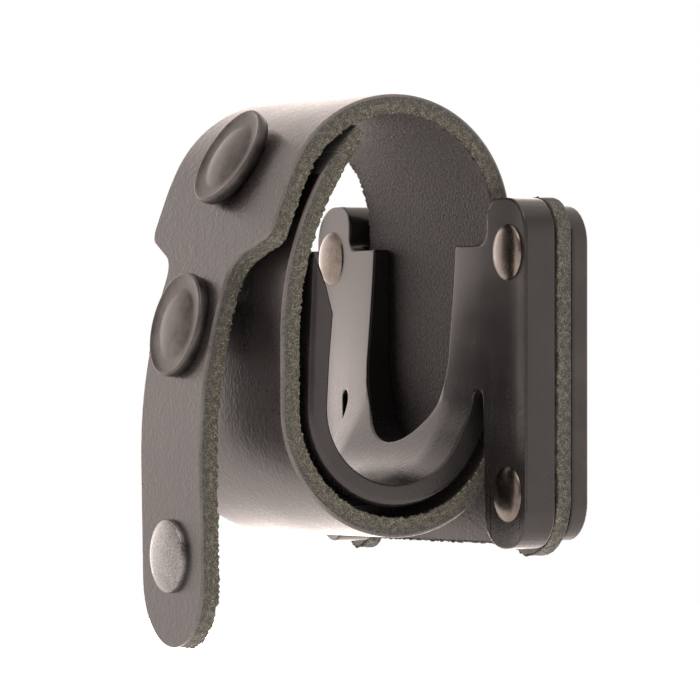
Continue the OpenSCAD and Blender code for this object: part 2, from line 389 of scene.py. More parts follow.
@dataclass(frozen=True)
class CutEdge:
    """Raw cut edge: packed fibres, tan at the flesh side and dyed grey towards the grain."""

    name: str = "cut_edge"
    inner: float = -1.35
    outer: float = 1.35
    coords: Coords = Coords.UV
    # line_at and line place a dark band: on the strap the dyed grain layer atop the edge, on the pad a
    # painted shadow of the gap at its front face.
    line_at: Pair = (1.01, 1.08)
    dyed_at: Pair = (0.40, 0.95)
    tan: Stops = (
        (0.50, (0.020, 0.0204, 0.0162)),
        (0.70, (0.088, 0.0886, 0.069)),
        (0.88, (0.290, 0.291, 0.234)),
    )
    grey: Stops = (
        (0.50, (0.021, 0.0232, 0.0208)),
        (0.70, (0.066, 0.0732, 0.065)),
        (0.88, (0.185, 0.1970, 0.176)),
    )
    line: tuple[float, ...] = (0.018, 0.0175, 0.016, 1.0)
    drawn: Point = (1.25, 1.0, 1.0)
    fibres: float = 5200.0
    clumps: float = 1500.0

    def make(self) -> Material:
        """Build the material, with fibres along the strip.

        Returns:
            The material.
        """
        sheet = NodeSheet(self.name)
        along = sheet.place(self.coords, self.drawn)
        fibre = sheet.noise(along, self.fibres, 4.0, 0.7)
        clump = sheet.noise(along, self.clumps)
        tone = sheet.sum(fibre, clump, 0.4)
        through = sheet.axis(sheet.place(self.coords), "Y")
        depth = sheet.spread(through, (0.0, 1.0), self.inner * MM, self.outer * MM)
        wavy = sheet.sum(depth, clump, 0.22)
        dyed = sheet.spread(wavy, (0.0, 1.0), *self.dyed_at)
        rim = sheet.spread(wavy, (0.0, 1.0), *self.line_at)
        colour = sheet.mix(dyed, sheet.ramp(tone, self.tan), sheet.ramp(tone, self.grey))
        sheet.bump(tone, 0.9, 0.3)
        return sheet.paint(
            Base_Color=sheet.mix(rim, colour, self.line),
            Roughness=0.85,
            Specular_IOR_Level=0.3,
            Sheen_Weight=0.1,
        )


@dataclass(frozen=True)
class Plastic:
    """Black moulded plastic: satin skin with flow marks, fine scuffs and scoring near the foot."""

    name: str
    base: Point = (0.0085, 0.0083, 0.0080)
    worn: Point = (0.016, 0.0155, 0.0150)
    gloss: Pair = (0.19, 0.31)
    scored: Pair = (-6.0, 3.0)
    grain: float = 3200.0
    flows: float = 180.0
    scuffs: float = 1400.0
    streaks: float = 2600.0
    streak_turn: float = -24.0

    def make(self) -> Material:
        """Build the material on Object coordinates.

        Returns:
            The material.
        """
        sheet = NodeSheet(self.name)
        spot = sheet.place(Coords.OBJECT)
        skin = sheet.noise(spot, self.grain, 2.0, 0.6)
        flow = sheet.noise(sheet.place(Coords.OBJECT, (4.0, 1.0, 1.0)), self.flows, 4.0)
        scuff = sheet.noise(sheet.place(Coords.OBJECT, (1.0, 2.0, 8.0)), self.scuffs, 4.0, 0.7)
        drawn = sheet.place(Coords.OBJECT, (16.0, 1.0, 1.0), self.streak_turn)
        streak = sheet.noise(drawn, self.streaks, 3.0, 0.7)
        low, high = self.scored
        below = sheet.spread(sheet.axis(spot, "Z"), (1.0, 0.12), low * MM, high * MM)
        score = sheet.times(streak, below)
        colour = sheet.ramp(sheet.sum(flow, scuff, 0.5), [(0.5, self.base), (1.0, self.worn)])
        rough = sheet.spread(sheet.sum(sheet.sum(flow, scuff, 0.8), score, 0.5), self.gloss, 0.6, 1.4)
        sheet.bump(skin, 0.05, 0.02)
        sheet.bump(flow, 0.10, 0.15)
        sheet.bump(score, 1.0, 0.03)
        return sheet.paint(Base_Color=colour, Roughness=rough, Specular_IOR_Level=0.52)


@dataclass(frozen=True)
class Metal:
    """Plated metal: tinted patches and a fine speckle."""

    name: str
    dark: Point
    light: Point
    gloss: Pair
    speckle: float = 0.35
    grit: float = 0.12
    fine: float = 2600.0
    patches: float = 320.0

    def make(self) -> Material:
        """Build the material on Object coordinates.

        Returns:
            The material.
        """
        sheet = NodeSheet(self.name)
        spot = sheet.place(Coords.OBJECT)
        patch = sheet.noise(spot, self.patches, 4.0, 0.6)
        polish = sheet.noise(spot, self.fine, 3.0, 0.65)
        whole = 1 + self.speckle
        mottle = sheet.sum(patch, polish, self.speckle)
        tone = sheet.spread(mottle, (0.0, 1.0), 0.33 * whole, 0.67 * whole)
        colour = sheet.ramp(tone, [(0.0, self.dark), (1.0, self.light)])
        rough = sheet.spread(sheet.sum(patch, polish, 0.6), self.gloss, 0.5, 1.1)
        sheet.bump(polish, self.grit, 0.05)
        return sheet.paint(Base_Color=colour, Metallic=1.0, Roughness=rough)


def clear_selection() -> None:
    """Leave every object deselected, in object mode."""
    if bpy.context.object and bpy.context.object.mode != "OBJECT":
        bpy.ops.object.mode_set(mode="OBJECT")
    bpy.ops.object.select_all(action="DESELECT")


def take(piece: Piece) -> None:
    """Make one object the only selected and active one.

    Args:
        piece: object that is worked on next.
    """
    clear_selection()
    bpy.context.view_layer.objects.active = piece
    piece.select_set(True)


def settle(name: str, size: Point = (1, 1, 1)) -> Piece:
    """Name the new primitive, and put its place and size into its mesh.

    Args:
        name: name of the piece.
        size: scale along each of its own axes.

    Returns:
        The object.
    """
    piece = bpy.context.object
    piece.name = name
    piece.data.name = name
    piece.scale = size
    take(piece)
    bpy.ops.object.transform_apply(location=True, rotation=True, scale=True)
    return piece


def upright(name: str, half: float, low: float, high: float, y: float) -> Piece:
    """A flat rectangle that stands parallel to the plate.

    Args:
        name: name of the piece.
        half: half its width.
        low: its foot.
        high: its top.
        y: where it stands.

    Returns:
        The flat piece.
    """
    middle = Vector((0, y, (low + high) / 2)) * MM
    clear_selection()
    bpy.ops.mesh.primitive_plane_add(size=1, location=middle, rotation=(math.pi / 2, 0, 0))
    return settle(name, (2 * half * MM, (high - low) * MM, 1))


def finish_with(piece: Piece, kind: str, **settings: object) -> None:
    """Add a modifier and apply it.

    Args:
        piece: object that is changed.
        kind: modifier type.
        settings: the modifier's values.
    """
    take(piece)
    modifier = piece.modifiers.new(kind.lower(), kind)
    for key, value in settings.items():
        setattr(modifier, key, value)
    bpy.ops.object.modifier_apply(modifier=modifier.name)


def carve(piece: Piece, cutter: Piece, operation: str) -> None:
    """Cut a piece by another, and remove the cutter."""
    finish_with(piece, "BOOLEAN", object=cutter, operation=operation, solver="EXACT")
    bpy.data.objects.remove(cutter, do_unlink=True)


def smooth(piece: Piece, degrees: float) -> None:
    """Shade smooth where the faces meet at less than an angle."""
    take(piece)
    bpy.ops.object.shade_smooth_by_angle(angle=math.radians(degrees))


@dataclass(frozen=True)
class Fray:
    """A cloud pattern that roughens a cut edge, in millimetres."""

    name: str
    size: float
    strength: float
    level: float

    def work(self, piece: Piece) -> None:
        """Roughen a piece by the weights of its raw group.

        Args:
            piece: piece with the weights.
        """
        cloud = bpy.data.textures.new(self.name, "CLOUDS")
        cloud.noise_scale = self.size * MM
        cloud.noise_depth = 2
        finish_with(
            piece,
            "DISPLACE",
            texture=cloud,
            texture_coords="LOCAL",
            strength=self.strength * MM,
            mid_level=self.level,
            vertex_group="raw",
        )


def fray(piece: Piece, weights: Iterable[float], patterns: Iterable[Fray]) -> None:
    """Roughen a piece by patterns, each vertex by its weight.

    Args:
        piece: piece that is roughened.
        weights: one weight from 0 to 1 for each vertex.
        patterns: patterns in working order.
    """
    group = piece.vertex_groups.new(name="raw")
    for index, weight in enumerate(weights):
        group.add([index], float(weight), "REPLACE")
    for pattern in patterns:
        pattern.work(piece)


class Editor:
    """Edit mode on one piece, with selection by place in millimetres."""

    def __init__(self, piece: Piece) -> None:
        """Keep the piece that is edited."""
        self.piece = piece

    def __enter__(self) -> "Editor":
        """Enter edit mode with nothing selected.

        Returns:
            The editor.
        """
        take(self.piece)
        bpy.ops.object.mode_set(mode="EDIT")
        bpy.ops.mesh.select_all(action="DESELECT")
        return self

    def __exit__(self, *details: object) -> None:
        """Go back to object mode."""
        bpy.ops.object.mode_set(mode="OBJECT")

    def pick(self, kind: str, test: Callable[[object], bool]) -> None:
        """Select the elements of one kind that pass a test.

        Args:
            kind: VERT, EDGE or FACE.
            test: takes an element of the mesh.
        """
        bpy.ops.mesh.select_mode(type=kind)
        bpy.ops.mesh.select_all(action="DESELECT")
        mesh = bmesh.from_edit_mesh(self.piece.data)
        mesh.normal_update()
        elements = {"VERT": mesh.verts, "EDGE": mesh.edges, "FACE": mesh.faces}[kind]
        for chosen in [element for element in elements if test(element)]:
            chosen.select_set(True)
        bmesh.update_edit_mesh(self.piece.data)

    def all(self) -> None:
        """Select everything."""
        bpy.ops.mesh.select_all(action="SELECT")

    def sort(self) -> None:
        """Put the mesh in one order, which the cuts leave open, so that every run bevels it alike."""
        cursor = bpy.context.scene.cursor
        cursor.location = SORT_FROM
        self.all()
        bpy.ops.mesh.sort_elements(type="CURSOR_DISTANCE", elements={"VERT", "EDGE", "FACE"})
        cursor.location = (0, 0, 0)

    def verts(self, test: Callable[[Vector], bool]) -> None:
        """Select vertices by their place."""
        self.pick("VERT", lambda vert: test(vert.co / MM))

    def edges(self, test: Callable[[Vector, Vector], bool]) -> None:
        """Select edges by the places of both ends."""
        self.pick("EDGE", lambda edge: test(edge.verts[0].co / MM, edge.verts[1].co / MM))

    def faces(self, test: Callable[[Vector, Vector], bool]) -> None:
        """Select faces by their middle and normal."""
        self.pick("FACE", lambda face: test(face.calc_center_median() / MM, face.normal))

    def sheet(self) -> None:
        """Select every face, to be extruded."""
        self.faces(lambda middle, normal: True)

    def sharp(self, degrees: float) -> None:
        """Select the edges whose faces meet at more than an angle."""
        self.pick("EDGE", lambda edge: edge.calc_face_angle(0.0) > math.radians(degrees))

    def weigh(self, degrees: float, share: Callable[[Vector], float]) -> None:
        """Give every sharp edge the bevel weight of its middle.

        Args:
            degrees: smallest angle between the two faces.
            share: takes the middle, and gives a weight from 0 to 1.
        """
        self.sharp(degrees)
        mesh = bmesh.from_edit_mesh(self.piece.data)
        weight = mesh.edges.layers.float.new("bevel_weight_edge")
        for edge in mesh.edges:
            if edge.select:
                edge[weight] = share((edge.verts[0].co + edge.verts[1].co) / 2 / MM)
        bmesh.update_edit_mesh(self.piece.data)

    def cut(self, axis: str, *places: float) -> None:
        """Cut the whole mesh by planes across one axis.

        Args:
            axis: X, Y or Z.
            places: where the planes stand.
        """
        way = Vector([float(axis == letter) for letter in "XYZ"])
        for place in places:
            self.all()
            bpy.ops.mesh.bisect(plane_co=way * place * MM, plane_no=way)

    def plain(self) -> None:
        """Dissolve the edges and vertices that a flat outline doesn't need."""
        self.all()
        bpy.ops.mesh.dissolve_limited(angle_limit=math.radians(1))

    def extrude(self, move: Point) -> None:
        """Extrude what is selected by a move."""
        bpy.ops.mesh.extrude_region_move(TRANSFORM_OT_translate={"value": Vector(move) * MM})

    def move(self, move: Point) -> None:
        """Move what is selected."""
        bpy.ops.transform.translate(value=Vector(move) * MM)

    def turn(self, degrees: float, centre: Vector) -> None:
        """Turn what is selected about X, round a centre."""
        bpy.ops.transform.rotate(value=math.radians(-degrees), orient_axis="X", center_override=centre * MM)

    def resize(self, factors: Point, centre: Vector) -> None:
        """Scale what is selected from a centre."""
        bpy.ops.transform.resize(value=factors, center_override=centre * MM)

    def round(self, radius: float, segments: int, corners: bool = False) -> None:
        """Bevel the selected edges, or the corners of a flat outline."""
        kind = "VERTICES" if corners else "EDGES"
        bpy.ops.mesh.bevel(offset=radius * MM, segments=segments, affect=kind, clamp_overlap=False)

    def collapse(self, length: float) -> None:
        """Close up the edges under some length, each run of them at its middle."""
        self.edges(lambda a, b: (a - b).length < length)
        bpy.ops.mesh.merge(type="COLLAPSE")

    def outwards(self) -> None:
        """Merge doubles and turn every face outwards."""
        self.all()
        bpy.ops.mesh.remove_doubles(threshold=DOUBLE * MM)
        self.all()
        bpy.ops.mesh.normals_make_consistent(inside=False)


@dataclass(frozen=True)
class Station:
    """A place on a route in the side view, in millimetres, and its heading in degrees."""

    y: float
    z: float
    heading: float

    def after(self, length: float, turn: float) -> "Station":
        """Station at the end of a straight or a bend.

        Args:
            length: length along the route.
            turn: change of heading, positive to the left.

        Returns:
            The next station.
        """
        start = math.radians(self.heading)
        if turn == 0:
            return Station(self.y + length * math.cos(start), self.z + length * math.sin(start), self.heading)
        radius = length / math.radians(turn)
        end = math.radians(self.heading + turn)
        y = self.y + radius * (math.sin(end) - math.sin(start))
        z = self.z - radius * (math.cos(end) - math.cos(start))
        return Station(y, z, self.heading + turn)

    def side(self, left: bool) -> Vector:
        """Unit vector across the route, to the left or right of the heading."""
        angle = math.radians(self.heading + (90 if left else -90))
        return Vector((0, math.cos(angle), math.sin(angle)))

    def point(self, off: float = 0.0, left: bool = True) -> Vector:
        """Place of the station, moved some way across the route."""
        return Vector((0, self.y, self.z)) + self.side(left) * off


def stretch(at: Station, share: float, foot: Vector) -> None:
    """Scale what is selected across the route.

    Args:
        at: station that it stands on.
        share: factor on its thickness.
        foot: place that stays, in millimetres.
    """
    tilt = math.radians(at.heading + 90)
    matrix = ((1, 0, 0), (0, math.cos(tilt), math.sin(tilt)), (0, -math.sin(tilt), math.cos(tilt)))
    bpy.ops.transform.resize(
        value=(1, share, 1),
        orient_type="GLOBAL",
        orient_matrix=matrix,
        orient_matrix_type="GLOBAL",
        center_override=foot * MM,
    )


def ease(start: Station, end: Station, count: int) -> list[Station]:
    """Stations along a smooth curve between two stations.

    Args:
        start: first station, left out of the row.
        end: last station.
        count: how many stations.

    Returns:
        The row of stations.
    """
    reach = math.hypot(end.y - start.y, end.z - start.z)
    first, last = math.radians(start.heading), math.radians(end.heading)
    row = []
    for k in range(1, count + 1):
        t = k / count
        blend = 3 * t * t - 2 * t**3
        leave = (t**3 - 2 * t * t + t) * reach
        arrive = (t**3 - t * t) * reach
        y = start.y + (end.y - start.y) * blend + leave * math.cos(first) + arrive * math.cos(last)
        z = start.z + (end.z - start.z) * blend + leave * math.sin(first) + arrive * math.sin(last)
        row.append(Station(y, z, start.heading + (end.heading - start.heading) * blend))
    return row


def bend(radius: float, turn: float) -> Pair:
    """Length and turn of a bend of some radius."""
    return radius * math.radians(abs(turn)), turn


def turned(name: str, base: Vector, axis: Vector, profile: Pairs, steps: int) -> Piece:
    """Turn a profile round an axis.

    Args:
        name: name of the piece.
        base: foot of the axis, in millimetres.
        axis: direction of the axis.
        profile: radius and height pairs in millimetres.
        steps: steps round the axis.

    Returns:
        The turned piece.
    """
    places = [base + axis * high + Vector((radius, 0, 0)) for radius, high in profile]
    clear_selection()
    bpy.ops.mesh.primitive_plane_add(size=MM, location=places[0] * MM)
    piece = settle(name)
    with Editor(piece) as edit:
        edit.verts(lambda p: True)
        bpy.ops.mesh.merge(type="CENTER")
        for here, there in zip(places, places[1:]):
            edit.extrude(there - here)
        edit.all()
        bpy.ops.mesh.spin(steps=steps, angle=2 * math.pi, center=base * MM, axis=axis)
        edit.outwards()
    smooth(piece, SMOOTH)
    return piece


def copied(model: Piece, name: str, place: Vector, lean: float = 0.0) -> Piece:
    """Copy a model with a mesh of its own, and put the copy in its place.

    Args:
        model: object that stands at the origin.
        name: name of the copy.
        place: where the copy goes, in millimetres.
        lean: turn of the copy about X, in degrees.

    Returns:
        The copy.
    """
    take(model)
    bpy.ops.object.duplicate(linked=False)
    piece = bpy.context.object
    piece.location = place * MM
    piece.rotation_euler = (math.radians(lean), 0, 0)
    return settle(name)


def dress(piece: Piece, materials: Iterable[Material]) -> None:
    """Give a piece its materials.

    Args:
        piece: object that is dressed.
        materials: materials in slot order.
    """
    piece.data.materials.clear()
    for material in materials:
        piece.data.materials.append(material)


def mount(piece: Piece, body: Body, node: str) -> Piece:
    """Let a rigid piece ride on a body and stand for a node.

    Args:
        piece: the piece.
        body: body that carries it.
        node: node that it stands for.

    Returns:
        The piece.
    """
    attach(piece, body.value)
    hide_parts(node)
    return piece


@dataclass
class Strap:
    """The leather strap: loop, flap and tab along one route."""

    width: float = 38.0
    thick: float = 2.7
    step: float = 0.26
    mid_r: float = 16.85
    low: float = 4.9
    high: float = 21.1
    back_y: float = -6.65
    seam: float = 100.0
    inner_end: Pairs = ((9.9, 0), bend(44, -31), (8.2, 0))
    flap_arcs: Pair = (20.0, 33.0)
    flap_rest: Pairs = (bend(40, 7), (11.4, 0), bend(60, 9), (2.0, 0))
    tab_start: Pairs = (bend(70, 10), bend(100, 2))
    tab_long: float = 29.1
    tab_half: float = 9.7
    tip_r: float = 9.6
    tip_half: float = 0.1
    tip_end: float = 88.5
    shoulder_z: float = 18.9
    slope: float = 21.0
    shoulder_r: float = 2.5
    neck_r: float = 4.0
    pare_l: float = 9.0
    pare_t: float = 1.1
    grain_r: float = 0.42
    flesh_r: float = 0.2
    edge_cuts: Pair = (0.5, 1.1)
    flap_blend: Pair = (8, 33)
    tab_blend: tuple[Point, Point] = ((0, -0.049, -0.0056), (0, -0.049, -0.0136))
    raw_wide: float = 1.2
    raw_least: float = 0.08
    raw_top: float = 0.5
    raw_deep: float = 1.75
    seam_fade: float = 1.5
    frays: tuple[Fray, ...] = (Fray("frayed", 0.42, 0.85, 0.38), Fray("wavy", 1.6, 0.22, 0.38))
    grain_tol: float = 0.02
    flesh_tol: float = 0.06
    rim_deep: float = 0.36
    rim_steep: float = 0.4
    finishes: list[Material] = field(default_factory=list)

    def build(self) -> list[Piece]:
        """Build the three strips, and mount the loop on the holder.

        Returns:
            The pieces.
        """
        # The rim finish is about ten times lighter than the grain: a painted highlight along the rounded
        # grain corner, partly a burnished edge.
        rim = GrainLeather("burnish_and_highlight_leather", (0.055, 0.0520, 0.0500), (0.16, 0.1510, 0.1450))
        self.finishes = [finish.make() for finish in (GrainLeather(), FleshLeather(), CutEdge(), rim)]
        return [self.loop(), self.flap(), self.tab()]

    def top(self) -> Station:
        """Station of the seam on top of the loop, heading towards the flap."""
        return Station(self.back_y, 0, 90).after(self.high, 0).after(*bend(self.mid_r, self.seam))

    def flap_run(self) -> list[Pair]:
        """Straights and bends from the seam to the fold of the tab."""
        return [*(bend(self.mid_r, turn) for turn in self.flap_arcs), *self.flap_rest]

    def stations(self, start: Station, run: Iterable[Pair]) -> list[Station]:
        """Stations along a run, no further apart than the step.

        Args:
            start: first station.
            run: lengths and turns.

        Returns:
            The stations.
        """
        here = start
        row = [start]
        for length, turn in run:
            count = max(1, math.ceil(length / self.step))
            row += [here.after(length * k / count, turn * k / count) for k in range(1, count + 1)]
            here = row[-1]
        return row

    def half_width(self, station: Station) -> float:
        """Half the strap's width at a station of the flap.

        Args:
            station: station on the flap.

        Returns:
            Half the width in millimetres.
        """
        full = self.width / 2
        lean = math.radians(self.slope)
        neck_z = self.shoulder_z - (full - self.tab_half) * math.tan(lean)
        reach = math.tan((math.pi / 2 - lean) / 2)
        rise = station.z - (self.shoulder_z + self.shoulder_r * reach)
        drop = station.z - (neck_z - self.neck_r * reach)
        if rise > 0:
            return full
        if rise > -self.shoulder_r * math.cos(lean):
            return full - self.shoulder_r + math.sqrt(max(0.0, self.shoulder_r**2 - rise**2))
        if drop < 0:
            return self.tab_half
        if drop < self.neck_r * math.cos(lean):
            return self.tab_half + self.neck_r - math.sqrt(max(0.0, self.neck_r**2 - drop**2))
        return full - (self.shoulder_z - station.z) / math.tan(lean)

    def strip(
        self, name: str, row: list[Station], halves: list[float], left: bool, seam: bool = False
    ) -> Piece:
        """One strip of the strap, swept along its stations and frayed at its cut edges.

        Args:
            name: name of the piece.
            row: its stations.
            halves: half widths at the stations.
            left: True for the loop, with its grain on the left of the heading and its end pared.
            seam: whether the strip goes on past its end.

        Returns:
            The piece.
        """
        piece = self.section(name, row[0], left, halves[0])
        self.sweep(piece, row, halves)
        if left:
            self.pare(piece, row)
        with Editor(piece) as edit:
            edit.outwards()
        self.roughen(piece, row, halves, left, seam)
        smooth(piece, SMOOTH)
        return piece

    def section(self, name: str, at: Station, left: bool, half: float) -> Piece:
        """Cross-section of the strap, standing across the route.

        Args:
            name: name of the piece.
            at: station where it stands.
            left: True where the grain is on the left of the heading.
            half: half its width in millimetres.

        Returns:
            The flat piece.
        """
        grain = at.side(left)
        clear_selection()
        bpy.ops.mesh.primitive_grid_add(
            x_subdivisions=12,
            y_subdivisions=6,
            size=1,
            location=at.point() * MM,
            rotation=(math.atan2(grain.z, grain.y), 0, 0),
        )
        piece = settle(name, (2 * half * MM, self.thick * MM, 1))
        with Editor(piece) as edit:
            for inset in self.edge_cuts:
                edit.cut("X", half - inset, inset - half)
            for height, radius in ((self.thick / 2, self.grain_r), (-self.thick / 2, self.flesh_r)):
                edit.verts(
                    lambda p: abs(p.x) > half - NEAR and abs((p - at.point()).dot(grain) - height) < NEAR
                )
                edit.round(radius, 3, corners=True)
        return piece

    def sweep(self, piece: Piece, row: list[Station], halves: list[float]) -> None:
        """Pull the cross-section along its stations.

        Args:
            piece: the flat cross-section at the first station.
            row: stations.
            halves: half widths at the stations.
        """
        with Editor(piece) as edit:
            edit.sheet()
            for k in range(1, len(row)):
                here, there = row[k - 1], row[k]
                edit.extrude(there.point() - here.point())
                if there.heading != here.heading:
                    edit.turn(there.heading - here.heading, there.point())
                if halves[k] != halves[k - 1]:
                    edit.resize((halves[k] / halves[k - 1], 1, 1), there.point())

    def pare(self, piece: Piece, row: list[Station]) -> None:
        """Thin the inner end on its grain side.

        Args:
            piece: the loop.
            row: its stations.
        """
        end = row[-1]
        count = math.ceil(self.pare_l / self.step)
        with Editor(piece) as edit:
            for station in row[-count:]:
                here = station.point()
                grain = station.side(True)
                ahead = grain.yz.orthogonal()
                share = 1 - (end.point() - here).length / self.pare_l
                edit.verts(
                    lambda p: abs((p - here).yz.dot(ahead)) < 2 * NEAR
                    and abs((p - here).dot(grain)) < self.thick
                )
                stretch(station, 1 - share * self.pare_t / self.thick, station.point(-self.thick / 2))

    def measure(self, piece: Piece, row: list[Station], left: bool) -> tuple[np.ndarray, ...]:
        """Place of each vertex along, across and through the strap.

        Args:
            piece: swept piece.
            row: its stations.
            left: True where the grain is on the left of the heading.

        Returns:
            Distances along, across and through, in millimetres.
        """
        flat = np.empty(len(piece.data.vertices) * 3)
        piece.data.vertices.foreach_get("co", flat)
        place = flat.reshape(-1, 3) / MM
        middle = np.array([(station.y, station.z) for station in row])
        grain = np.array([station.side(left).yz for station in row])
        along = np.concatenate([[0], np.cumsum(np.linalg.norm(np.diff(middle, axis=0), axis=1))])
        near = np.array([np.argmin(((middle - p) ** 2).sum(1)) for p in place[:, 1:]])
        through = ((place[:, 1:] - middle[near]) * grain[near]).sum(1)
        return along[near], place[:, 0], through

    def roughen(self, piece: Piece, row: list[Station], halves: list[float], left: bool, seam: bool) -> None:
        """Fray the cut edges, and lay out the finishes and the UV map.

        Args:
            piece: swept piece.
            row: its stations.
            halves: half widths at the stations.
            left: True where the grain is on the left of the heading.
            seam: whether the strip goes on past its end.
        """
        along, across, through = self.measure(piece, row, left)
        long = along.max()
        wide = np.interp(along, np.linspace(0, long, len(halves)), halves)
        rim = np.clip((np.abs(across) - wide + self.raw_wide) / self.raw_wide, self.raw_least, 1)
        deep = np.clip((self.raw_top - through) / self.raw_deep, 0, 1) ** 1.5
        weight = rim * deep * np.clip(along / self.seam_fade, 0, 1)
        if seam:
            weight *= np.clip((long - along) / self.seam_fade, 0, 1)
        fray(piece, weight, self.frays)
        self.lay_out(piece, along, across, through)

    def side_of(self, heights: np.ndarray) -> Side:
        """Which side of the strip a face belongs to.

        Args:
            heights: how far its vertices stand through the strip.

        Returns:
            The side.
        """
        rise, slant, level = heights.mean(), np.ptp(heights), self.thick / 2
        if rise > level - self.grain_tol:
            return Side.GRAIN
        # Faces on the rounded grain corner, which take the lighter rim finish with its painted highlight.
        if rise > level - self.rim_deep and slant < self.rim_steep:
            return Side.RIM
        if rise < self.flesh_tol - level and slant < self.flesh_tol:
            return Side.FLESH
        return Side.EDGE

    def lay_out(self, piece: Piece, along: np.ndarray, across: np.ndarray, through: np.ndarray) -> None:
        """Sort the faces into grain, flesh, rim and edge, and lay out their UV map.

        Args:
            piece: swept piece.
            along: distance of each vertex along the strip.
            across: distance of each vertex across the strip.
            through: distance of each vertex through the strip.
        """
        mesh = piece.data
        dress(piece, self.finishes)
        while mesh.uv_layers:
            mesh.uv_layers.remove(mesh.uv_layers[0])
        chart = mesh.uv_layers.new(name="strip")
        for face in mesh.polygons:
            side = self.side_of(through[list(face.vertices)])
            face.material_index = side.value
            first, second = (along, through) if side is Side.EDGE else (across, along)
            for corner in face.loop_indices:
                vert = mesh.loops[corner].vertex_index
                chart.data[corner].uv = (first[vert] * MM, second[vert] * MM)

    def loop(self) -> Piece:
        """The fixed loop, from the seam down the back, round the bottom and up to its inner end.

        Returns:
            The piece.
        """
        top = self.top()
        start = Station(top.y, top.z, top.heading + 180)
        round_back = [bend(self.mid_r, -self.seam), (self.high + self.low, 0), bend(self.mid_r, -180)]
        row = self.stations(start, [*round_back, *self.inner_end])
        piece = self.strip("strap_loop_leather", row, [self.width / 2] * len(row), True)
        return mount(piece, Body.HOLDER, "strap_loop")

    def flap(self) -> Piece:
        """The flap, from the seam on top to the keeper.

        Returns:
            The piece.
        """
        start = self.top()
        row = self.stations(start, self.flap_run())
        halves = [self.half_width(station) for station in row]
        piece = self.strip("strap_flap_leather", row, halves, False, True)
        before, after = (
            start.after(*bend(self.mid_r, turn)).point(self.thick / 2, False) for turn in self.flap_blend
        )
        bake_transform(piece)
        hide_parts("strap_flap")
        return piece

    def tab(self) -> Piece:
        """The tab, from the keeper to its round end.

        Returns:
            The piece.
        """
        start = self.top()
        for part in self.flap_run():
            start = start.after(*part)
        straight = self.tab_long - self.tab_start[1][0] - self.tip_r
        row = self.stations(start, [*self.tab_start, (straight, 0)])
        halves = [self.tab_half] * len(row)
        arc = [math.radians(degrees) for degrees in (*np.linspace(0, 90, 40)[1:-1], self.tip_end)]
        corner = row[-1]
        row += [corner.after(self.tip_r * math.sin(angle), 0) for angle in arc]
        halves += [self.tip_half + self.tip_r * math.cos(angle) for angle in arc]
        piece = self.strip("strap_tab_leather", row, halves, False)
        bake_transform(piece)
        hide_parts("strap_tab")
        return piece


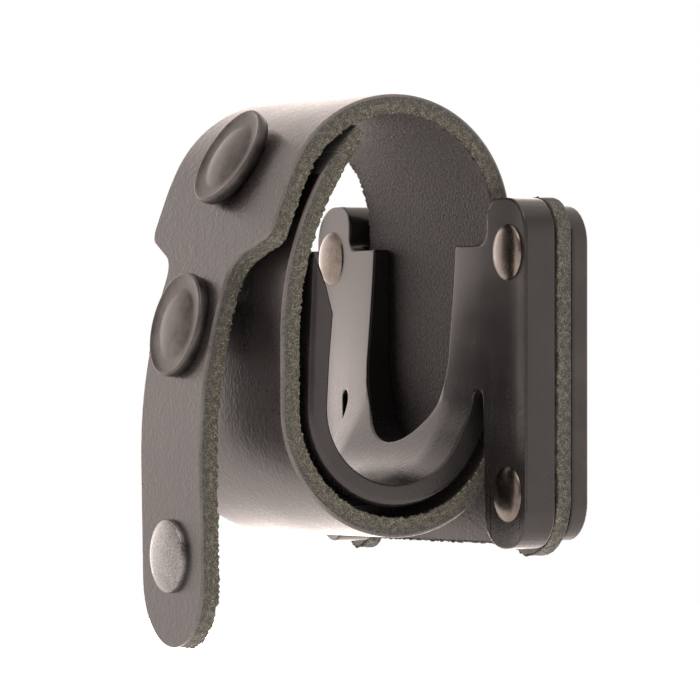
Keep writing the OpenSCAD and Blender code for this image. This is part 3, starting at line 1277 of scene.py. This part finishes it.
@dataclass
class Moulding:
    """The moulded plate with its mouth, window and slits, and the hook that its tongue bends into."""

    width: float = 64.0
    height: float = 49.4
    back: float = -5.3
    front: float = -10.1
    inner: float = -8.1
    corner: float = 5.4
    mouth_half: float = 21.0
    mouth_deep: float = 6.6
    mouth_r: float = 2.0
    mouth_top_r: float = 3.0
    window_half: float = 12.4
    window_low: float = -9.8
    window_mid: float = -12.0
    window_deep: float = 16.0
    slit_z: float = -2.4
    slit_half: float = 21.6
    slit_end_r: float = 1.18
    ear_r: float = 4.4
    foot: float = -3.6
    hook_half: float = 19.2
    hook_at: Pair = (-23.8, -4.9)
    hook_t: float = 3.85
    tongue: float = -96.0
    root: Station = Station(-13.01, -10.16, -116)
    root_steps: int = 8
    bowl_r: float = 12.0
    bowl_turn: float = -154.0
    bowl_steps: int = 26
    arm: tuple[tuple[Station, float], ...] = (
        (Station(-35.5, 1.9, 91), 4.1),
        (Station(-35.03, 8.3, 92), 4.4),
        (Station(-35.62, 12.2, 94), 2.85),
        (Station(-36.28, 15.2, 94), 1.3),
        (Station(-36.62, 17.0, 94), 0.16),
    )
    arm_t: Pairs = ((9.0, 4.1), (12.2, 2.65), (15.2, 1.25), (17.0, 0.16))
    arm_share: float = 0.3
    arm_mid: float = -35.6
    bowl_mid: float = 13.0
    hook_y: float = -13.1
    plain_r: float = 0.35
    slit_r: float = 0.18
    rim_r: float = 1.7
    rim_grow: Pairs = ((-20.0, 1.0), (-15.0, 0.2))
    sharp: float = 38.0
    tiny: float = 0.06
    reach: float = 20.0
    tongue_blend: tuple[Point, Point] = ((0, -0.0128, -0.012), (0, -0.0160, -0.012))
    shape: Pairs = (
        (30.0, 0.0), (29.0, 0.02), (28.0, 0.06), (27.0, 0.12), (26.0, 0.18), (25.0, 0.25), (24.0, 0.32),
        (23.0, 0.385), (22.2, 0.44), (21.62, 0.48), (20.4, 0.56), (19.2, 0.64), (16.4, 0.80), (14.2, 0.91),
        (12.0, 1.0),
    )
    swell: Pairs = (
        (-24.7, 1.9), (-12.0, 2.1), (-3.5, 2.4), (-2.0, 2.25), (1.0, 1.95), (4.4, 1.65), (9.0, 1.28),
        (13.5, 0.95), (18.12, 0.7), (24.7, 0.4),
    )

    def build(self) -> list[Piece]:
        """Build the moulding as one piece.

        Returns:
            The pieces.
        """
        piece = self.plate()
        self.trim(piece)
        self.hook(piece)
        self.window(piece)
        with Editor(piece) as edit:
            edit.collapse(self.tiny)
            edit.outwards()
            edit.sort()
            edit.weigh(self.sharp, lambda middle: self.edge_size(middle) / self.rim_r)
        width = self.rim_r * MM
        finish_with(piece, "BEVEL", width=width, segments=4, limit_method="WEIGHT", use_clamp_overlap=False)
        smooth(piece, SMOOTH_PLASTIC)
        finish_with(piece, "WEIGHTED_NORMAL", keep_sharp=True)
        dress(piece, [Plastic("moulded_plastic").make()])
        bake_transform(piece)
        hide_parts("hook_plate", "spring_hook")
        return [piece]

    def plate(self) -> Piece:
        """The plate's block, drawn up from its plan with a swell that fades towards the top.

        Returns:
            The piece.
        """
        level, old = self.swell[0]
        middle = Vector((0, (self.front + self.back) / 2, level))
        clear_selection()
        bpy.ops.mesh.primitive_plane_add(size=1, location=middle * MM)
        piece = settle("moulded_hook_plate", (self.width * MM, (self.back - self.front) * MM, 1))
        with Editor(piece) as edit:
            for place, _ in self.shape:
                edit.cut("X", place, -place)
            edit.cut("Y", self.inner)
            edit.faces(lambda middle, normal: abs(middle.x) < self.mouth_half and middle.y > self.inner)
            bpy.ops.mesh.delete(type="FACE")
            for place, share in self.shape:
                edit.verts(lambda p: p.y < self.front + NEAR and abs(abs(p.x) - place) < NEAR)
                edit.move((0, -share * old, 0))
            for rise, more in self.swell[1:]:
                edit.faces(lambda middle, normal: abs(middle.z - level) < NEAR)
                edit.extrude((0, 0, rise - level))
                edit.verts(lambda p: abs(p.z - rise) < NEAR and p.y < self.front + NEAR)
                edit.resize((1, more / old, 1), Vector((0, self.front, rise)))
                level, old = rise, more
            edit.outwards()
            edit.faces(lambda middle, normal: normal.y < -0.5 and abs(middle.x) > self.hook_half)
            bpy.ops.mesh.quads_convert_to_tris(quad_method="FIXED", ngon_method="CLIP")
        return piece

    def trim(self, piece: Piece) -> None:
        """Trim the block to the plate's front outline, with its mouth, slits and round corners.

        Args:
            piece: the block.
        """
        half = self.height / 2
        mouth = half - self.mouth_deep
        corners = (
            (self.width / 2, half, self.corner, 9),
            (self.width / 2, -half, self.corner, 9),
            (self.mouth_half, half, self.mouth_top_r, 6),
            (self.mouth_half, mouth, self.mouth_r, 6),
            (self.slit_half, -half, self.ear_r, 8),
            (self.slit_half, self.slit_z, self.slit_end_r, 6),
            (self.hook_half, self.slit_z, self.slit_end_r, 6),
        )
        outline = upright("plate_outline", self.width / 2, -half, half, -self.reach)
        with Editor(outline) as edit:
            for place in (self.mouth_half, self.slit_half, self.hook_half):
                edit.cut("X", place, -place)
            edit.cut("Z", mouth, self.slit_z, self.foot)
            edit.faces(lambda middle, normal: self.is_open(abs(middle.x), middle.z))
            bpy.ops.mesh.delete(type="FACE")
            edit.plain()
            for x, z, radius, segments in corners:
                edit.verts(lambda p: abs(abs(p.x) - x) < NEAR and abs(p.z - z) < NEAR)
                edit.round(radius, segments, corners=True)
            edit.sheet()
            edit.extrude((0, self.reach, 0))
            edit.outwards()
        carve(piece, outline, "INTERSECT")

    def edge_size(self, place: Vector) -> float:
        """Radius of the soft edge at a place.

        Args:
            place: the place in millimetres.

        Returns:
            The radius in millimetres.
        """
        if place.y < self.hook_y:
            y, z = self.hook_at
            low = math.hypot(place.y - y, place.z - z) > self.bowl_mid
            outer = place.y < self.arm_mid if place.z > z else low
            thick = np.interp(place.z, *zip(*self.arm_t))
            share = np.interp(place.y, *zip(*self.rim_grow))
            return min(self.rim_r * share if outer else self.plain_r, self.arm_share * thick)
        beside = self.hook_half - 0.5 < abs(place.x) < self.slit_half + 0.1
        if beside and self.ear_r - self.height / 2 - 0.1 < place.z < 0:
            return self.slit_r
        return self.plain_r

    def is_open(self, x: float, z: float) -> bool:
        """Whether a place lies in the mouth, a slit or below the tongue's root.

        Args:
            x: distance from the middle in millimetres.
            z: height in millimetres.

        Returns:
            True where the plate is open.
        """
        if z > self.height / 2 - self.mouth_deep:
            return x < self.mouth_half
        if x < self.hook_half:
            return z < self.foot
        return x < self.slit_half and z < self.slit_z

    def hook(self, piece: Piece) -> None:
        """Draw the tongue down out of the plate and bend it into the hook.

        Args:
            piece: the plate.
        """
        size = thick = self.inner - self.front + self.swell[2][1]
        start = Station(self.inner - thick / 2, self.foot, self.tongue)
        steps = range(1, self.bowl_steps + 1)
        lean = ease(start, self.root, self.root_steps)
        bowl = [self.root.after(*bend(self.bowl_r, self.bowl_turn * k / self.bowl_steps)) for k in steps]
        row = [(at, thick + (self.hook_t - thick) * k / len(lean)) for k, at in enumerate(lean, 1)]
        row += [(at, self.hook_t) for at in bowl]
        here = Station(start.y, start.z, -90)
        with Editor(piece) as edit:
            edit.faces(
                lambda middle, normal: abs(middle.z - self.foot) < 5 * NEAR
                and abs(middle.x) < self.hook_half
                and normal.z < -0.9
            )
            for there, wide in (*row, *self.arm):
                edit.extrude(there.point() - here.point())
                edit.turn((there.heading - here.heading + 180) % 360 - 180, there.point())
                stretch(there, wide / size, there.point())
                here, size = there, wide
            edit.outwards()

    def window(self, piece: Piece) -> None:
        """Cut the window, round at its foot and open into the mouth.

        Args:
            piece: the plate with its hook.
        """
        top = self.height / 2
        middle = Vector((0, self.window_mid, (top + self.window_low) / 2))
        size = Vector((2 * self.window_half, self.window_deep, top - self.window_low))
        clear_selection()
        bpy.ops.mesh.primitive_cube_add(size=1, location=middle * MM)
        cutter = settle("window_cutter", tuple(size * MM))
        with Editor(cutter) as edit:
            edit.edges(lambda a, b: a.z < self.window_low + NEAR and (a.xz - b.xz).length < NEAR)
            edit.round(self.window_half - 2 * NEAR, 24)
        carve(piece, cutter, "DIFFERENCE")


@dataclass
class Backing:
    """The leather pad and the thin plate behind the moulding, with the rivets through them."""

    pad_half: float = 31.8
    pad_low: float = -25.8
    pad_high: float = 24.8
    pad_y: float = -2.6
    pad_t: float = 2.7
    pad_layers: int = 6
    bay: Pair = (-26.6, 21.0)
    bay_deep: float = 1.5
    bay_lip: float = 1.2
    bay_r: float = 1.6
    foot_r: Pair = (2.8, 8.2)
    rim: float = 0.25
    raw_least: float = 0.1
    frays: tuple[Fray, ...] = (Fray("frayed_pad", 0.5, 1.0, 0.58),)
    # Depths of the dark band on the pad's cut edge at its front face: a painted shadow of the gap between
    # moulding and pad.
    gap_shadow_at: Pair = (0.34, 0.24)
    many: int = 40
    corner: float = 5.4
    plate_half: float = 32.0
    plate_high: float = 23.6
    plate_rim: float = 0.45
    recess_r: float = 4.1
    recess_deep: float = 2.6
    rivet_x: float = 26.9
    rivet_z: float = 17.0
    rivet_front: float = -10.1
    dome: Pairs = (
        (3.75, -0.25), (3.93, -0.05), (3.98, 0.10), (3.90, 0.28), (3.64, 0.48), (3.18, 0.69), (2.53, 0.87),
        (1.74, 1.00), (0.9, 1.08), (0.0, 1.10),
    )
    rear: Pairs = (
        (3.7, 1.2), (3.95, 1.05), (4.0, 0.75), (3.85, 0.45), (3.4, 0.22), (2.7, 0.1), (1.9, 0.12),
        (1.55, 0.3), (1.4, 0.8), (0.9, 0.95), (0.0, 1.0),
    )

    def build(self) -> list[Piece]:
        """Build the pad, the back plate and the rivets."""
        return [self.pad(), self.back_plate(), *self.rivets()]

    def pad(self) -> Piece:
        """The leather pad with frayed edges and a bay at its foot.

        Returns:
            The piece.
        """
        piece = upright("pad_leather", self.pad_half, self.pad_low, self.pad_high, self.pad_y)
        far, near = self.bay
        corners = (
            (self.pad_half, self.pad_high, self.corner),
            (-self.pad_half, self.pad_high, self.corner),
            (-self.pad_half, self.pad_low, self.foot_r[0]),
            (self.pad_half, self.pad_low, self.foot_r[1]),
            (far, self.pad_low, self.bay_r),
            (near, self.pad_low, self.bay_r),
        )
        with Editor(piece) as edit:
            edit.cut("X", far, near, far + self.bay_lip, near - self.bay_lip)
            edit.verts(lambda p: p.z < self.pad_low + NEAR and far + NEAR < p.x < near - NEAR)
            edit.move((0, 0, self.bay_deep))
            edit.plain()
            for x, z, radius in corners:
                edit.verts(lambda p: abs(p.x - x) < NEAR and abs(p.z - z) < NEAR)
                edit.round(radius, 8, corners=True)
            edit.edges(lambda a, b: (a - b).length > 3)
            bpy.ops.mesh.subdivide(number_cuts=60)
            edit.sheet()
            for _ in range(self.pad_layers):
                edit.extrude((0, -self.pad_t / self.pad_layers, 0))
            edit.outwards()
            edit.sharp(60)
            edit.round(self.rim, 2)
        deep = [(self.pad_y - vert.co.y / MM) / self.pad_t for vert in piece.data.vertices]
        fray(piece, self.raw_least + (1 - self.raw_least) * np.clip(deep, 0, 1), self.frays)
        smooth(piece, SMOOTH_PAD)
        finish_with(piece, "WEIGHTED_NORMAL", keep_sharp=True)
        face = GrainLeather("pad_grain", coords=Coords.OBJECT)
        # The pad's edge is darkened at its front face next to the moulding, a painted shadow of the gap
        # there.
        edge = CutEdge("pad_edge", self.pad_y - self.pad_t, self.pad_y, Coords.OBJECT, self.gap_shadow_at)
        dress(piece, [face.make(), edge.make()])
        for polygon in piece.data.polygons:
            polygon.material_index = int(polygon.loop_total < self.many)
        return mount(piece, Body.HOLDER, "leather_pad")

    def back_plate(self) -> Piece:
        """The thin back plate with its four rivet recesses.

        Returns:
            The piece.
        """
        piece = upright("backing_plate", self.plate_half, -self.plate_high, self.plate_high, 0.0)
        with Editor(piece) as edit:
            edit.verts(lambda p: True)
            edit.round(self.corner, 9, corners=True)
            edit.sheet()
            edit.extrude((0, self.pad_y, 0))
            edit.outwards()
        for x in (-self.rivet_x, self.rivet_x):
            for z in (-self.rivet_z, self.rivet_z):
                clear_selection()
                bpy.ops.mesh.primitive_cylinder_add(
                    vertices=48,
                    radius=self.recess_r * MM,
                    depth=self.recess_deep * MM,
                    location=Vector((x, 0, z)) * MM,
                    rotation=(math.pi / 2, 0, 0),
                )
                carve(piece, settle("recess_cutter"), "DIFFERENCE")
        finish_with(
            piece,
            "BEVEL",
            width=self.plate_rim * MM,
            segments=3,
            limit_method="ANGLE",
            angle_limit=math.radians(40),
        )
        smooth(piece, SMOOTH_PLASTIC)
        finish_with(piece, "WEIGHTED_NORMAL", keep_sharp=True)
        finish = Plastic("backing_plastic", worn=(0.03, 0.028, 0.026), gloss=(0.34, 0.5))
        dress(piece, [finish.make()])
        return mount(piece, Body.HOLDER, "back_plate")

    def rivets(self) -> list[Piece]:
        """Four domed rivet heads and their rear caps, each copied from one model.

        Returns:
            The pieces.
        """
        bronze = Metal("rivet_bronze", (0.090, 0.079, 0.072), (0.200, 0.173, 0.146), (0.20, 0.32)).make()
        kinds = (("head", "rivet", self.rivet_front, self.dome), ("rear", "rivet_cap", 0.0, self.rear))
        made = []
        for kind, node, y, profile in kinds:
            model = turned(f"rivet_{kind}_model", Vector(), FORWARD, profile, 56)
            for side, x in (("near", self.rivet_x), ("far", -self.rivet_x)):
                for row, z in (("top", self.rivet_z), ("bottom", -self.rivet_z)):
                    piece = copied(model, f"rivet_{kind}_{side}_{row}", Vector((x, y, z)))
                    dress(piece, [bronze])
                    made.append(mount(piece, Body.HOLDER, f"{node}_{side}_{row}"))
            bpy.data.objects.remove(model, do_unlink=True)
        return made


@dataclass
class PressStuds:
    """The two press-stud caps, the post on the tab, and the stud parts that stay as in the frame."""

    caps: tuple[tuple[str, Station, float], ...] = (
        ("closing", Station(-38.122, 29.474, 240.2), 1.35),
        ("keeper", Station(-46.466, 6.425, 257.1), 0.9),
    )
    tab: Station = Station(-48.311, -25.810, 271.0)
    post_seat: float = 1.25
    cap: Pairs = (
        (6.75, -0.05), (7.05, 0.02), (7.28, 0.2), (7.42, 0.55), (7.5, 1.0), (7.5, 1.5), (7.45, 1.72),
        (7.34, 1.84), (7.2, 1.88), (7.06, 1.86), (6.94, 1.78), (6.8, 1.68), (6.5, 1.61), (6.0, 1.56),
        (5.4, 1.52), (5.1, 1.54), (4.92, 1.60), (4.7, 1.71), (4.3, 1.85), (3.6, 2.02), (2.7, 2.17),
        (1.8, 2.26), (0.9, 2.31), (0.0, 2.32),
    )
    post: Pairs = (
        (5.0, -0.05), (5.2, 0.08), (5.2, 0.8), (5.1, 0.95), (4.85, 1.1), (4.3, 1.33), (3.5, 1.54),
        (2.5, 1.70), (1.4, 1.80), (0.5, 1.833), (0.0, 1.836),
    )
    plain: tuple[str, ...] = ("closing_socket", "closing_stud", "closing_post", "keeper_socket", "tab_stud")
    springs: tuple[str, ...] = ("closing_spring", "keeper_spring")
    gunmetal: Metal = Metal(
        "stud_gunmetal", (0.050, 0.0472, 0.0455), (0.118, 0.111, 0.107), (0.38, 0.50), grit=0.25
    )
    dull: Metal = Metal(
        "stud_dull", (0.10, 0.1010, 0.1005), (0.32, 0.3240, 0.3220), (0.24, 0.36), 3.0, 1.0, 4200.0
    )
    brass: Metal = Metal("spring_brass", (0.36, 0.25, 0.10), (0.62, 0.47, 0.22), (0.22, 0.38))

    def build(self, nodes: dict[str, Piece]) -> list[Piece]:
        """Build the caps and the post, and dress the parts that stay.

        Args:
            nodes: the frame's objects by name.

        Returns:
            The pieces.
        """
        dark, pale, yellow = self.gunmetal.make(), self.dull.make(), self.brass.make()
        made = []
        model = turned("stud_cap_model", Vector(), FORWARD, self.cap, 96)
        for name, at, seat in self.caps:
            piece = copied(model, f"{name}_stud_cap", at.point(seat, False), at.heading - 270)
            dress(piece, [dark])
            made.append(mount(piece, Body.FLAP, f"{name}_cap"))
        foot = self.tab.point(self.post_seat, False)
        piece = turned("tab_stud_post", foot, self.tab.side(False), self.post, 72)
        dress(piece, [pale])
        made.append(mount(piece, Body.TAB, "tab_post"))
        bpy.data.objects.remove(model, do_unlink=True)
        for name in self.plain + self.springs:
            nodes[name].data.materials.clear()
            nodes[name].data.materials.append(yellow if name in self.springs else dark)
        return made


@dataclass
class Studio:
    """Pale floor, soft lights and the camera, in metres."""

    eye: Point = (0.7947, -0.4322, -0.0014)
    aim: Point = (-0.0046, -0.0188, 0.0034)
    lens: float = 320.8
    sensor: float = 36.0
    clip: Pair = (0.01, 50.0)
    warm: Point = (1.22, 1.06, 1.0)
    white: tuple[float, ...] = (1.0, 1.0, 1.0, 1.0)
    ring: Pairs = (
        (0.0, 3.1), (0.05, 2.7), (0.12, 1.72), (0.165, 1.48), (0.22, 1.36), (0.5, 1.18), (0.78, 1.2),
        (0.9, 0.6), (1.0, 0.3),
    )
    dome: Pairs = ((0.05, 1.0), (0.2, 0.95), (0.3, 0.88), (0.45, 0.74), (0.7, 0.6), (0.9, 0.95))
    floor_z: float = -0.16
    floor_size: float = 6.0
    paper: Stops = ((0.3, (0.86, 0.86, 0.86)), (0.7, (0.9, 0.9, 0.9)))
    glow: Pair = (0.45, 4.2)
    glow_x: Pair = (0.1, -0.35)
    glow_y: Pair = (0.0, 0.3)
    lights: tuple[tuple[str, Point, float, float], ...] = (
        ("left_wall", (-1.1, -0.6, -0.1), 1.0, 1.0),
        ("top_light", (0.5, -0.5, 1.2), 0.7, 3.0),
    )
    lit: Point = (0, -0.02, 0)

    def build(self) -> None:
        """Set up the whole stage."""
        self.camera()
        self.floor()
        for light in self.lights:
            self.light(*light)
        self.sky()
        bpy.context.scene.view_settings.view_transform = "Standard"

    def sky(self) -> None:
        """Warm white surround, brightest behind the object and dim behind the camera and overhead."""
        sheet = SkySheet("studio")
        way = sheet.tree.nodes.new("ShaderNodeTexCoord").outputs["Generated"]
        near = sheet.spread(sheet.facing(way, Vector(self.eye) - Vector(self.aim)), (0.0, 1.0), -1.0, 1.0)
        tints = [(place, tuple(level * tint for tint in self.warm)) for place, level in self.ring]
        greys = [(place, (level,) * 3) for place, level in self.dome]
        around = sheet.ramp(near, tints)
        overhead = sheet.ramp(sheet.axis(way, "Z"), greys)
        seen = sheet.tree.nodes.new("ShaderNodeLightPath").outputs["Is Camera Ray"]
        sheet.paint(Color=sheet.mix(seen, sheet.dim(around, overhead), self.white))
        bpy.context.scene.world = sheet.world

    def facing(self, place: Point, target: Point) -> Vector:
        """Turn of a camera or light at a place that faces a target."""
        return (Vector(target) - Vector(place)).to_track_quat("-Z", "Y").to_euler()

    def camera(self) -> None:
        """Camera at the viewing angle."""
        clear_selection()
        bpy.ops.object.camera_add(location=self.eye, rotation=self.facing(self.eye, self.aim))
        camera = bpy.context.object
        camera.name = "camera"
        camera.data.lens = self.lens
        camera.data.sensor_width = self.sensor
        camera.data.clip_start, camera.data.clip_end = self.clip
        bpy.context.scene.camera = camera

    def floor(self) -> None:
        """Plain pale floor that glows behind the object, on its far side."""
        clear_selection()
        bpy.ops.mesh.primitive_plane_add(size=self.floor_size, location=(0, 0, self.floor_z))
        floor = settle("studio_floor")
        with Editor(floor) as edit:
            edit.all()
            bpy.ops.mesh.subdivide(number_cuts=8)
        sheet = NodeSheet("floor_paper")
        spot = sheet.place(Coords.OBJECT)
        far = sheet.spread(sheet.axis(spot, "X"), (0.0, 1.0), *self.glow_x)
        rear = sheet.spread(sheet.axis(spot, "Y"), (0.0, 1.0), *self.glow_y)
        material = sheet.paint(
            Base_Color=sheet.ramp(sheet.noise(spot, 8.0), self.paper),
            Roughness=0.9,
            Emission_Color=(*self.warm, 1.0),
            Emission_Strength=sheet.spread(sheet.times(far, rear), self.glow),
        )
        floor.data.materials.append(material)

    def light(self, name: str, place: Point, size: float, power: float) -> None:
        """A soft square light that faces the object.

        Args:
            name: name of the light.
            place: where it stands.
            size: its side.
            power: its power in watts.
        """
        clear_selection()
        bpy.ops.object.light_add(type="AREA", location=place, rotation=self.facing(place, self.lit))
        lamp = bpy.context.object
        lamp.name = name
        lamp.data.size = size
        lamp.data.energy = power
        lamp.data.color = self.warm


def main() -> None:
    """Build the holder on its frame."""
    logging.basicConfig(level=logging.INFO, format="%(name)s: %(message)s")
    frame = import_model()
    clear_selection()
    Studio().build()
    pieces = Strap().build() + Moulding().build() + Backing().build() + PressStuds().build(frame["nodes"])
    for piece in pieces:
        LOG.info("%s: %d faces", piece.name, len(piece.data.polygons))


if __name__ == "__main__":
    main()
